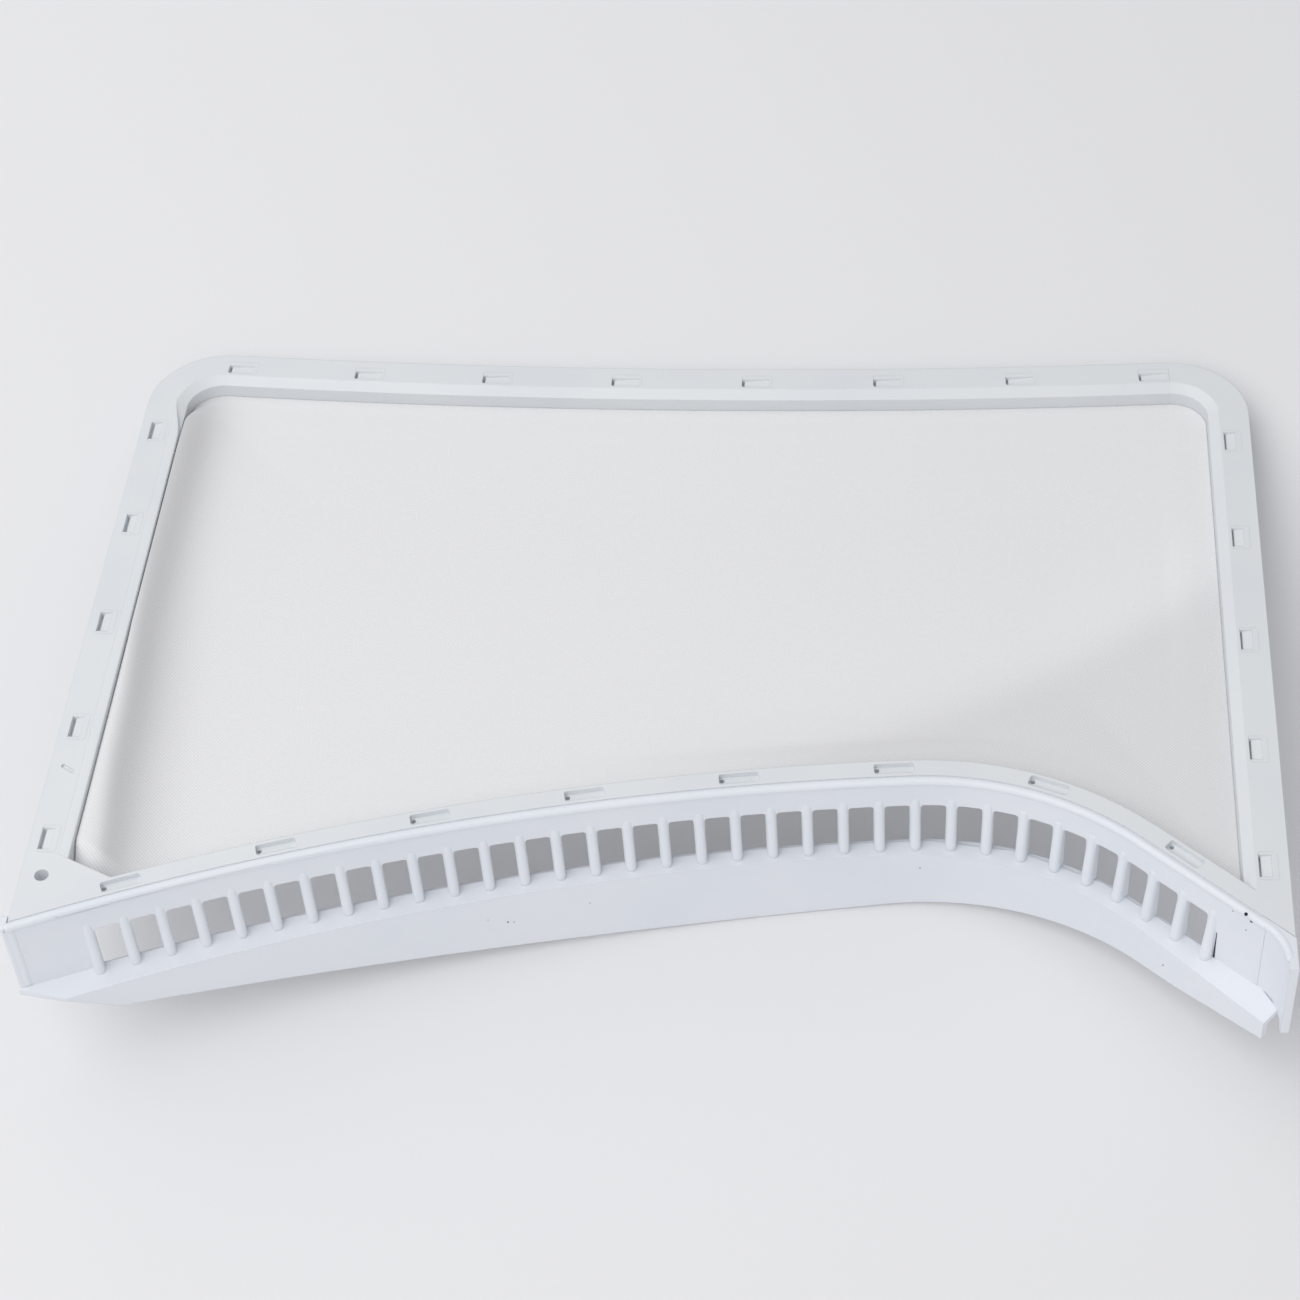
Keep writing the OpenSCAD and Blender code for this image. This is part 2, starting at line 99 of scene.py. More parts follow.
@dataclass(frozen=True)
class SweptLine:
    """A plan line of a long arc, a tight bend and a straight end.

    The handle's wall follows it. Lengths are millimetres, turns are degrees to
    the right, and heading is the first direction, in degrees from +X.
    """

    start: tuple[float, float]
    heading: float
    long_r: float
    long_turn: float
    bend_r: float
    bend_turn: float

    @staticmethod
    def _back(heading: np.ndarray) -> np.ndarray:
        """Unit vectors to the left of headings in degrees, one per row."""
        a = np.radians(heading)
        return np.stack([-np.sin(a), np.cos(a)], axis=-1)

    def at(self, run: np.ndarray, behind: float) -> np.ndarray:
        """Points on the line shifted to its back side.

        On an arc of radius r the heading falls by run / (r + behind), and the
        point is the arc's hub plus (r + behind) times the heading's left normal.
        Past both arcs the point goes straight on.

        Args:
            run: distances along the shifted line, mm.
            behind: how far the shifted line lies behind this one, mm.

        Returns:
            Array (n, 2) of plan points, mm.
        """
        run = np.asarray(run, float)
        r1, r2 = self.long_r + behind, self.bend_r + behind
        len1 = math.radians(self.long_turn) * r1
        len2 = len1 + math.radians(self.bend_turn) * r2
        h0, h1 = self.heading, self.heading - self.long_turn
        h2 = h1 - self.bend_turn
        hub1 = np.array(self.start) - self.long_r * self._back(h0)
        hub2 = hub1 + (self.long_r - self.bend_r) * self._back(h1)
        a1 = h0 - np.degrees(run / r1)
        a2 = h1 - np.degrees((run - len1) / r2)
        along = np.array([math.cos(math.radians(h2)), math.sin(math.radians(h2))])
        on1 = hub1 + r1 * self._back(a1)
        on2 = hub2 + r2 * self._back(a2)
        on3 = hub2 + r2 * self._back(h2) + (run - len2)[..., None] * along
        first, second = (run < len1)[..., None], (run < len2)[..., None]
        return np.where(first, on1, np.where(second, on2, on3))


# The outer face of the handle's wall, from its left end.
WALL_LINE = SweptLine(
    start=(-210.0733, -275.4), heading=22.84,
    long_r=942.0, long_turn=18.66, bend_r=103.2, bend_turn=44.42,
)
REST = RestPose()
RIGHT = np.array([1.0, 0.0, 0.0])
AWAY = np.array([0.0, 1.0, 0.0])
UP = np.array([0.0, 0.0, 1.0])


def linear(hex_rgb: str) -> tuple[float, float, float, float]:
    """Turns an sRGB hex colour into the linear RGBA that a shader takes.

    Args:
        hex_rgb: six hex digits, with or without a leading #.

    Returns:
        Linear red, green, blue and an alpha of 1.
    """
    digits = hex_rgb.lstrip("#")
    s = np.array([int(digits[i : i + 2], 16) / 255 for i in (0, 2, 4)])
    lin = np.where(s <= 0.04045, s / 12.92, ((s + 0.055) / 1.055) ** 2.4)
    return (float(lin[0]), float(lin[1]), float(lin[2]), 1.0)


def add_node(
    tree: bpy.types.NodeTree, kind: str, settings: dict | None = None, links: dict | None = None
) -> bpy.types.Node:
    """Adds one shader node with its settings and incoming links.

    Args:
        tree: the node tree that gets the node.
        kind: the node's type name.
        settings: property names or input sockets (names or numbers) to values.
        links: input sockets (names or numbers) to the output sockets that feed them.

    Returns:
        The new node.
    """
    node = tree.nodes.new(kind)
    for key, value in (settings or {}).items():
        if isinstance(key, str) and hasattr(node, key):
            setattr(node, key, value)
        else:
            node.inputs[key].default_value = value
    for key, output in (links or {}).items():
        tree.links.new(output, node.inputs[key])
    return node


def new_material(name: str) -> tuple[bpy.types.Material, bpy.types.NodeTree]:
    """Makes an empty node material.

    Args:
        name: the material's name.

    Returns:
        The material and its node tree.
    """
    material = bpy.data.materials.new(name)
    material.use_nodes = True
    material.node_tree.nodes.clear()
    return material, material.node_tree


def grid_piece(
    name: str, points: np.ndarray, uv: np.ndarray | None = None
) -> bpy.types.Object:
    """Puts a grid of points into a mesh object, one quad per cell.

    Vertex (i, j) has the number i * columns + j. Each cell joins its corners
    (i, j), (i + 1, j), (i + 1, j + 1) and (i, j + 1), so the faces look up when
    i runs along +X and j along +Y.

    Args:
        name: the object's name.
        points: array (rows, columns, 3), metres.
        uv: array (rows, columns, 2) for a map named "cloth", or None.

    Returns:
        The linked object.
    """
    rows, cols = points.shape[:2]
    number = np.arange(rows * cols).reshape(rows, cols)
    quads = np.stack(
        [number[:-1, :-1], number[1:, :-1], number[1:, 1:], number[:-1, 1:]], axis=-1
    ).reshape(-1, 4)
    mesh = bpy.data.meshes.new(name)
    mesh.from_pydata(points.reshape(-1, 3).tolist(), [], quads.tolist())
    mesh.shade_smooth()
    if uv is not None:
        layer = mesh.uv_layers.new(name="cloth")
        corner = np.zeros(len(mesh.loops), np.int32)
        mesh.loops.foreach_get("vertex_index", corner)
        layer.data.foreach_set("uv", uv.reshape(-1, 2)[corner].astype(np.float32).ravel())
    piece = bpy.data.objects.new(name, mesh)
    bpy.context.scene.collection.objects.link(piece)
    return piece


def shell_piece(name: str, bars: list[np.ndarray], smooth: bool = True) -> bpy.types.Object:
    """Makes one mesh of closed bars, each a row of rings with flat end faces.

    Point k of ring i is joined to point k + 1 and to the same two of ring i + 1,
    and the last point of a ring to its first.

    Args:
        name: the object's name.
        bars: arrays (rings, points round, 3), flat millimetres.
        smooth: whether its faces are shaded as one curved surface.

    Returns:
        The linked object, its faces turned outward.
    """
    vertices, faces, first = [], [], 0
    for bar in bars:
        rings, around = bar.shape[:2]
        number = first + np.arange(rings * around).reshape(rings, around)
        turned = np.roll(number, -1, axis=1)
        sides = np.stack([number[:-1], turned[:-1], turned[1:], number[1:]], axis=-1)
        faces += sides.reshape(-1, 4).tolist() + [number[0].tolist(), number[-1].tolist()]
        vertices.append(bar.reshape(-1, 3))
        first += rings * around
    mesh = bpy.data.meshes.new(name)
    mesh.from_pydata(REST.to_world(np.concatenate(vertices)).tolist(), [], faces)
    work = bmesh.new()
    work.from_mesh(mesh)
    bmesh.ops.recalc_face_normals(work, faces=work.faces)
    work.to_mesh(mesh)
    work.free()
    if smooth:
        mesh.shade_smooth()
    piece = bpy.data.objects.new(name, mesh)
    bpy.context.scene.collection.objects.link(piece)
    return piece


def rounded_bar(
    centre: np.ndarray, side: np.ndarray, up: np.ndarray,
    half_w: np.ndarray | float, half_h: np.ndarray | float,
    power: float = 2.0, around: int = 28, dome: float = 0.0,
) -> np.ndarray:
    """A superellipse section carried along a path.

    A ring's point is the centre plus side times half_w * C plus up times
    half_h * S. C and S are the cosine and sine of its angle, raised to
    2 / power with their signs kept. Over the length dome at both ends the
    section shrinks along a quarter circle, and a small end face is left.

    Args:
        centre: path (n, 3).
        side: unit vectors (n, 3) or (3,) across the path.
        up: unit vectors (n, 3) or (3,) square to both.
        half_w: half width, one value or one per ring.
        half_h: half height, one value or one per ring.
        power: 2 for an ellipse; larger is boxier.
        around: points round the section.
        dome: length over which the ends round off, mm.

    Returns:
        Array (n, around, 3).
    """
    n, least_square = len(centre), 0.01
    a = np.linspace(0, 2 * math.pi, around, endpoint=False)
    c, s = np.cos(a), np.sin(a)
    c, s = np.sign(c) * np.abs(c) ** (2 / power), np.sign(s) * np.abs(s) ** (2 / power)
    step = np.linalg.norm(np.diff(centre, axis=0), axis=1)
    run = np.concatenate([[0.0], np.cumsum(step)])
    shrink = np.ones(n)
    if dome > 0:
        near = np.clip(np.minimum(run, run[-1] - run) / dome, 0.0, 1.0)
        shrink = np.sqrt(np.clip(1 - (1 - near) ** 2, least_square, 1.0))
    w = (np.broadcast_to(half_w, n) * shrink)[:, None, None]
    h = (np.broadcast_to(half_h, n) * shrink)[:, None, None]
    side = np.broadcast_to(side, (n, 3))[:, None, :]
    up = np.broadcast_to(up, (n, 3))[:, None, :]
    return centre[:, None, :] + side * w * c[None, :, None] + up * h * s[None, :, None]


def wall_path(run: np.ndarray, behind: float, z: float) -> tuple[np.ndarray, np.ndarray]:
    """A path beside the handle's wall and its level side vectors, pointing back.

    Args:
        run: distances along the shifted line, mm.
        behind: how far the path lies behind the wall's outer face, mm.
        z: its height, mm.

    Returns:
        Points (n, 3) and unit side vectors (n, 3).
    """
    ahead = 0.01
    near, far = WALL_LINE.at(run, behind), WALL_LINE.at(run + ahead, behind)
    along = (far - near) / np.linalg.norm(far - near, axis=1, keepdims=True)
    side = np.stack([-along[:, 1], along[:, 0], np.zeros(len(run))], axis=1)
    return np.column_stack([near, np.full(len(run), z)]), side


@dataclass(frozen=True)
class MouldedPolypropylene:
    """Polypropylene, injection moulded in a fine matt tool.

    The eye gets a soft broad sheen, a barely seen grain, edges that are never
    quite sharp, and slow patches of the second tone, where the melt cooled
    unevenly.
    """

    name: str
    tone: str
    patch: str
    roughness: float = 0.42
    smoother: float = 0.05
    rougher: float = 0.07
    edge_mm: float = 0.45
    grain_mm: float = 0.9
    patch_mm: float = 55.0

    def build(self) -> bpy.types.Material:
        """Makes the material on Object coordinates.

        Returns:
            The material.
        """
        material, tree = new_material(self.name)
        coord = add_node(tree, "ShaderNodeTexCoord").outputs["Object"]
        patches = add_node(
            tree, "ShaderNodeTexNoise",
            {"Scale": 1 / (self.patch_mm * MM), "Detail": 3.0, "Roughness": 0.55},
            {"Vector": coord},
        )
        ramp = add_node(
            tree, "ShaderNodeMapRange", {"From Min": 0.36, "From Max": 0.64},
            {"Value": patches.outputs["Fac"]},
        )
        colour = add_node(
            tree, "ShaderNodeMix",
            {"data_type": "RGBA", 6: linear(self.tone), 7: linear(self.patch)},
            {0: ramp.outputs["Result"]},
        )
        # The real spark-eroded grain is about 0.1 mm. It is drawn coarser, so that it shows.
        grain = add_node(
            tree, "ShaderNodeTexNoise",
            {"Scale": 1 / (self.grain_mm * MM), "Detail": 2.0, "Roughness": 0.6},
            {"Vector": coord},
        )
        edge = add_node(tree, "ShaderNodeBevel", {"samples": 6, "Radius": self.edge_mm * MM})
        bump = add_node(
            tree, "ShaderNodeBump", {"Strength": 0.12, "Distance": 0.02 * MM},
            {"Height": grain.outputs["Fac"], "Normal": edge.outputs["Normal"]},
        )
        sheen = add_node(
            tree, "ShaderNodeMapRange",
            {"From Min": 0.3, "From Max": 0.7, "To Min": self.roughness - self.smoother,
             "To Max": self.roughness + self.rougher},
            {"Value": patches.outputs["Fac"]},
        )
        shader = add_node(
            tree, "ShaderNodeBsdfPrincipled", {"IOR": 1.49, "Specular IOR Level": 0.4},
            {"Base Color": colour.outputs[2], "Roughness": sheen.outputs["Result"],
             "Normal": bump.outputs["Normal"]},
        )
        add_node(tree, "ShaderNodeOutputMaterial", {}, {"Surface": shader.outputs["BSDF"]})
        return material


@dataclass(frozen=True)
class WovenNylon:
    """Monofilament nylon in plain weave, stretched and heat-set in the frame.

    The eye gets an off-white cloth, matt from above, whose thread crossings line
    up as fine diagonals. Shade is painted into its colour where it hangs over the
    dark space under it, and beside the pucker.
    """

    name: str = "nylon_monofilament_woven"
    tone: str = "EFEFF0"
    # The tone of the painted shade.
    hollow: str = "C4C4C6"
    period_mm: float = 1.3
    fleck_mm: float = 2.2
    thread_shade: float = 0.16
    open_share: float = 0.45

    def build(self) -> bpy.types.Material:
        """Makes the material on the sheet's own UV map, whose unit is a metre.

        The thread pattern is the sine of x + y mixed with the sine of x - y, so
        it runs in one diagonal at the left of the sheet and in the other at its
        right, as the sheet's attribute weave_lean says. A noise breaks it up.

        Returns:
            The material.
        """
        material, tree = new_material(self.name)
        uv = add_node(tree, "ShaderNodeUVMap", {"uv_map": "cloth"}).outputs["UV"]
        axes = add_node(tree, "ShaderNodeSeparateXYZ", {}, {"Vector": uv})
        # Real threads lie about 0.3 mm apart. They are drawn coarser, so that they show.
        turns = 2 * math.pi / (self.period_mm * MM)
        lean = add_node(tree, "ShaderNodeAttribute", {"attribute_name": "weave_lean"})
        diagonals = []
        for operation in ("ADD", "SUBTRACT"):
            both = add_node(
                tree, "ShaderNodeMath", {"operation": operation},
                {0: axes.outputs["X"], 1: axes.outputs["Y"]},
            )
            phase = add_node(
                tree, "ShaderNodeMath", {"operation": "MULTIPLY", 1: turns},
                {0: both.outputs["Value"]},
            )
            wave = add_node(
                tree, "ShaderNodeMath", {"operation": "SINE"}, {0: phase.outputs["Value"]}
            )
            diagonals.append(wave.outputs["Value"])
        weave = add_node(
            tree, "ShaderNodeMix", {"data_type": "FLOAT"},
            {0: lean.outputs["Fac"], 2: diagonals[0], 3: diagonals[1]},
        )
        fleck = add_node(
            tree, "ShaderNodeTexNoise",
            {"Scale": 1 / (self.fleck_mm * MM), "Detail": 2.0}, {"Vector": uv},
        )
        height = add_node(
            tree, "ShaderNodeMath", {"operation": "MULTIPLY"},
            {0: weave.outputs[0], 1: fleck.outputs["Fac"]},
        )
        # Painted shade: this attribute darkens the cloth in the valley and beside the pucker.
        shade = add_node(tree, "ShaderNodeAttribute", {"attribute_name": "hollow"})
        thread = add_node(
            tree, "ShaderNodeMapRange",
            {"From Min": -0.5, "From Max": 0.5, "To Min": -self.thread_shade,
             "To Max": self.thread_shade},
            {"Value": height.outputs["Value"]},
        )
        # How far the colour goes toward the painted shade tone: the painted shade plus the
        # weave's pattern.
        deep = add_node(
            tree, "ShaderNodeMath", {"operation": "ADD", "use_clamp": True},
            {0: shade.outputs["Fac"], 1: thread.outputs["Result"]},
        )
        colour = add_node(
            tree, "ShaderNodeMix",
            {"data_type": "RGBA", 6: linear(self.tone), 7: linear(self.hollow)},
            {0: deep.outputs["Value"]},
        )
        bump = add_node(
            tree, "ShaderNodeBump", {"Strength": 0.35, "Distance": 0.08 * MM},
            {"Height": height.outputs["Value"]},
        )
        shader = add_node(
            tree, "ShaderNodeBsdfPrincipled",
            {"Roughness": 0.85, "IOR": 1.53, "Specular IOR Level": 0.15, "Sheen Weight": 0.08},
            {"Base Color": colour.outputs[2], "Normal": bump.outputs["Normal"]},
        )
        # The gaps between threads let light through to what lies under the screen.
        path = add_node(tree, "ShaderNodeLightPath")
        passing = add_node(
            tree, "ShaderNodeMath", {"operation": "MAXIMUM"},
            {0: path.outputs["Is Shadow Ray"], 1: path.outputs["Is Diffuse Ray"]},
        )
        share = add_node(
            tree, "ShaderNodeMath", {"operation": "MULTIPLY", 1: self.open_share},
            {0: passing.outputs["Value"]},
        )
        clear = add_node(tree, "ShaderNodeBsdfTransparent")
        cloth = add_node(
            tree, "ShaderNodeMixShader", {},
            {0: share.outputs["Value"], 1: shader.outputs["BSDF"], 2: clear.outputs["BSDF"]},
        )
        add_node(tree, "ShaderNodeOutputMaterial", {}, {"Surface": cloth.outputs["Shader"]})
        return material


@dataclass(frozen=True)
class PaintedBoard:
    """Smooth board under matt white emulsion, put on with a roller.

    The eye gets a plain pale floor that shows only the filter's soft shadow.
    """

    name: str = "board_matt_emulsion"
    tone: str = "EDEDEF"
    nap_mm: float = 3.0

    def build(self) -> bpy.types.Material:
        """Makes the floor's material.

        Returns:
            The material.
        """
        material, tree = new_material(self.name)
        coord = add_node(tree, "ShaderNodeTexCoord").outputs["Object"]
        nap = add_node(
            tree, "ShaderNodeTexNoise",
            {"Scale": 1 / (self.nap_mm * MM), "Detail": 3.0}, {"Vector": coord},
        )
        bump = add_node(
            tree, "ShaderNodeBump", {"Strength": 0.04, "Distance": 0.05 * MM},
            {"Height": nap.outputs["Fac"]},
        )
        shader = add_node(
            tree, "ShaderNodeBsdfPrincipled",
            {"Base Color": linear(self.tone), "Roughness": 0.8, "Specular IOR Level": 0.1},
            {"Normal": bump.outputs["Normal"]},
        )
        add_node(tree, "ShaderNodeOutputMaterial", {}, {"Surface": shader.outputs["BSDF"]})
        return material


def dress_node(node: bpy.types.Object, finish: MouldedPolypropylene) -> bpy.types.Material:
    """Gives a CAD node its finish.

    Args:
        node: the CAD node.
        finish: what it is moulded in.

    Returns:
        The finish's material.
    """
    material = finish.build()
    node.data.materials.clear()
    node.data.materials.append(material)
    return material


def bell(distance: np.ndarray, width: np.ndarray | float) -> np.ndarray:
    """Smooth hump: e to the power of minus (distance / width) squared."""
    return np.exp(-((distance / width) ** 2))


def ease(value: np.ndarray) -> np.ndarray:
    """Smooth step: 0 below 0, 1 above 1, and 3v^2 - 2v^3 between."""
    v = np.clip(value, 0.0, 1.0)
    return v * v * (3 - 2 * v)


@dataclass(frozen=True)
class Growth:
    """A smooth step along a plan axis, 0 up to start and 1 past start + length.

    With a negative length it grows the other way.
    """

    start: float
    length: float

    def at(self, place: np.ndarray) -> np.ndarray:
        """Share reached at each place: the smooth step of (place - start) / length."""
        return ease((place - self.start) / self.length)


@dataclass
class MeshScreen:
    """The slack woven screen between rails, flange and gusset.

    Its outline is the frame's opening. It hangs in a shallow dish, dips into a
    valley toward the right end, and puckers beside the left rail.
    """

    half_width: float = 194.1
    corner_r: float = 12.4
    far_bow_r: float = 2778.0
    far_inset: float = 15.1
    outer_corner: tuple[float, float] = (181.7, -21.61)
    wall_gap: float = 9.5
    wall_run: float = 560.0
    gusset_foot: tuple[float, float] = (-194.1, -244.7)
    gusset_turn: float = 25.3
    edge_z: float = -7.6
    thickness: float = 0.3
    # The grid: columns across, rows along, points that trace the flange's line,
    # and how far the sine that spaces the columns goes toward its crest.
    columns: int = 250
    rows: int = 156
    line_points: int = 2400
    sine_share: float = 0.98
    # The dish, and how the frame holds the cloth: the width over which hold grows,
    # how many times sooner dish and valley are free, and the width for the pucker.
    sag: float = 1.6
    hold_w: float = 60.0
    hold_gain: float = 4.0
    grip_w: float = 10.0
    # The valley's line, its depth, and its width on its far and its near side.
    valley: tuple[tuple[float, float], ...] = (
        (-60.0, -203.0), (-6.3, -194.9), (20.1, -180.0), (68.0, -161.1),
        (109.6, -141.3), (152.0, -116.3), (188.4, -90.8), (194.1, -86.0),
    )
    valley_depth: float = 3.4
    valley_grows: Growth = Growth(-60.0, 130.0)
    valley_fades: Growth = Growth(120.0, 75.0)
    valley_fade_share: float = 0.6
    valley_far_w: float = 16.0
    valley_near_w: float = 30.0
    # The pucker: a crest that stands a little before its dark side, and a swell
    # against the rail itself.
    fold_start: float = 0.8
    fold_drift: float = 7.5
    fold_drifts: Growth = Growth(-70.0, -130.0)
    fold_flare: float = 4.0
    fold_flares: Growth = Growth(-190.0, -60.0)
    fold_lead: float = 4.2
    pucker_grows: Growth = Growth(15.0, -60.0)
    crest_h: float = 3.8
    crest_w: float = 7.5
    crest_least: float = 0.4
    crest_droop_share: float = 0.3
    swell_h: float = 2.9
    swell_w: float = 10.0
    rail_rise: float = 0.12
    # The weave's lean, and the painted shade in the valley and beside the pucker.
    lean_least: float = 0.15
    lean_gain: float = 0.7
    lean_turns: Growth = Growth(-150.0, 260.0)
    valley_shade: float = 0.3
    valley_shade_w: float = 30.0
    valley_shade_grows: Growth = Growth(-40.0, 120.0)
    fold_shade: float = 0.65
    fold_shade_grows: Growth = Growth(25.0, -60.0)
    fold_shade_in: float = 4.5
    fold_shade_out: float = 17.0

    def far_edge(self, x: np.ndarray) -> np.ndarray:
        """Far edge: a shallow bow, joined to the side rails by corner arcs.

        The bow is the far rail's radius minus the height of a circle of radius
        bow + inset over x, and each corner is the upper quarter of a circle.

        Args:
            x: places across the screen, mm.

        Returns:
            The edge's plan y at each x.
        """
        bow = self.far_bow_r - np.sqrt((self.far_bow_r + self.far_inset) ** 2 - x**2)
        out = np.clip(np.abs(x) - self.outer_corner[0], 0.0, self.corner_r)
        arc = self.outer_corner[1] + np.sqrt(self.corner_r**2 - out**2)
        return np.where(np.abs(x) > self.outer_corner[0], np.minimum(arc, bow), bow)

    def near_edge(self, x: np.ndarray) -> np.ndarray:
        """Near edge: the flange's line behind the wall, cut by the gusset.

        Args:
            x: places across the screen, mm.

        Returns:
            The edge's plan y at each x, the higher of the flange's line and the
            gusset's straight one.
        """
        line = WALL_LINE.at(np.linspace(0.0, self.wall_run, self.line_points), self.wall_gap)
        flange = np.interp(x, line[:, 0], line[:, 1])
        slope = math.tan(math.radians(self.gusset_turn))
        gusset = self.gusset_foot[1] - slope * (x - self.gusset_foot[0])
        return np.maximum(flange, gusset)

    def fold_line(self, y: np.ndarray) -> np.ndarray:
        """Distance from the left rail to the pucker's dark side: a start and two smooth steps."""
        drift = self.fold_drift * self.fold_drifts.at(y)
        return self.fold_start + drift + self.fold_flare * self.fold_flares.at(y)

    def dip(self, x: np.ndarray, y: np.ndarray) -> np.ndarray:
        """The valley: minus its depth times a bell of the distance from its line.

        The depth grows and then fades along x. The distance is the gap along y,
        divided by the square root of 1 + slope squared.

        Args:
            x: plan x of the points, mm.
            y: plan y of the points, mm.

        Returns:
            Height to add, zero or less.
        """
        vx, vy = np.array(self.valley).T
        line = np.interp(x, vx, vy)
        slope = np.interp(x, vx, np.gradient(vy, vx))
        across = (line - y) / np.sqrt(1 + slope**2)
        fade = 1 - self.valley_fade_share * self.valley_fades.at(x)
        depth = self.valley_depth * self.valley_grows.at(x) * fade
        far, near = bell(across, self.valley_far_w), bell(across, self.valley_near_w)
        return -depth * np.where(across < 0, far, near)

    def pucker(self, x: np.ndarray, y: np.ndarray) -> np.ndarray:
        """The pucker beside the left rail, which leaves it toward the handle.

        From the rail to the crest it climbs along a parabola, past the crest it
        falls off as a bell, and a second bell swells against the rail.

        Args:
            x: plan x of the points, mm.
            y: plan y of the points, mm.

        Returns:
            Height to add, zero or more.
        """
        d = x + self.half_width
        crest = np.maximum(self.fold_line(y) - self.fold_lead, self.crest_least)
        climb = 1 - self.crest_droop_share * (1 - np.clip(d / crest, 0, 1)) ** 2
        form = np.where(d < crest, climb, bell(d - crest, self.crest_w))
        grown = self.pucker_grows.at(y)
        high = self.crest_h * grown * form + self.swell_h * grown * bell(d, self.swell_w)
        return high * np.clip(d / self.rail_rise, 0, 1)

    def relief(
        self, x: np.ndarray, y: np.ndarray, hold: np.ndarray, grip: np.ndarray
    ) -> np.ndarray:
        """Height of the cloth over its edge: dish plus valley, plus the pucker.

        The dish and the valley fade out by hold toward all edges, the pucker
        only toward the near and far edges, over the distance grip_w.

        Args:
            x: plan x of the points, mm.
            y: plan y of the points, mm.
            hold: 0 at the edges, growing to 1 in the open cloth.
            grip: distance from the nearer of the near and far edges, mm.

        Returns:
            The height at each point, mm.
        """
        loose = (self.dip(x, y) - self.sag * hold) * ease(hold * self.hold_gain)
        return loose + self.pucker(x, y) * ease(grip / self.grip_w)

    def build(self, finish: WovenNylon) -> bpy.types.Object:
        """Makes the sheet.

        The grid's columns are spaced by a sine, so they close up toward the side
        rails. Each column runs straight from the near edge to the far edge, with
        its rows spaced by a half turn of a cosine.

        Args:
            finish: the cloth's finish.

        Returns:
            The sheet, dressed and attached to the root body.
        """
        u = np.linspace(-1, 1, self.columns)
        reach = math.pi / 2 * self.sine_share
        x = self.half_width * np.sin(u * reach) / math.sin(reach)
        v = (1 - np.cos(np.linspace(0, math.pi, self.rows))) / 2
        near, far = self.near_edge(x), self.far_edge(x)
        gx = np.repeat(x[:, None], self.rows, axis=1)
        gy = near[:, None] + v[None, :] * (far - near)[:, None]
        grip = np.minimum(gy - near[:, None], far[:, None] - gy)
        side = self.half_width - np.abs(gx)
        hold = ease(np.minimum(grip, side) / self.hold_w)
        z = self.edge_z + self.relief(gx, gy, hold, grip)
        flat = np.stack([gx, gy, z], axis=-1)
        screen = grid_piece("screen_cloth", REST.to_world(flat), flat[..., :2] * MM)
        self.mark(screen, gx, gy)
        shell = screen.modifiers.new("cloth_thickness", "SOLIDIFY")
        shell.thickness, shell.offset = self.thickness * MM, -1.0
        screen.data.materials.append(finish.build())
        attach(screen, "root")
        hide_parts("mesh_screen")
        return screen

    def mark(self, screen: bpy.types.Object, x: np.ndarray, y: np.ndarray) -> None:
        """Stores how far the weave leans and how much shade is painted on the cloth.

        The lean goes over from one diagonal to the other along x. The painted shade
        is a smooth step on the valley's near side, plus a bell round the pucker's
        dark side.

        Args:
            screen: the sheet.
            x: plan x of its vertices.
            y: plan y of its vertices.
        """
        lean = self.lean_least + self.lean_gain * self.lean_turns.at(x)
        vx, vy = np.array(self.valley).T
        below = (np.interp(x, vx, vy) - y) / self.valley_shade_w
        in_valley = ease(below) * self.valley_shade_grows.at(x)
        fold = x + self.half_width - self.fold_line(y)
        width = np.where(fold < 0, self.fold_shade_in, self.fold_shade_out)
        beside = self.fold_shade_grows.at(y) * bell(fold, width)
        # Painted shade: darker on the valley's near side and round the pucker's dark side.
        hollow = self.valley_shade * in_valley + self.fold_shade * beside
        for name, value in (("weave_lean", lean), ("hollow", hollow)):
            layer = screen.data.attributes.new(name, "FLOAT", "POINT")
            layer.data.foreach_set("value", value.astype(np.float32).ravel())


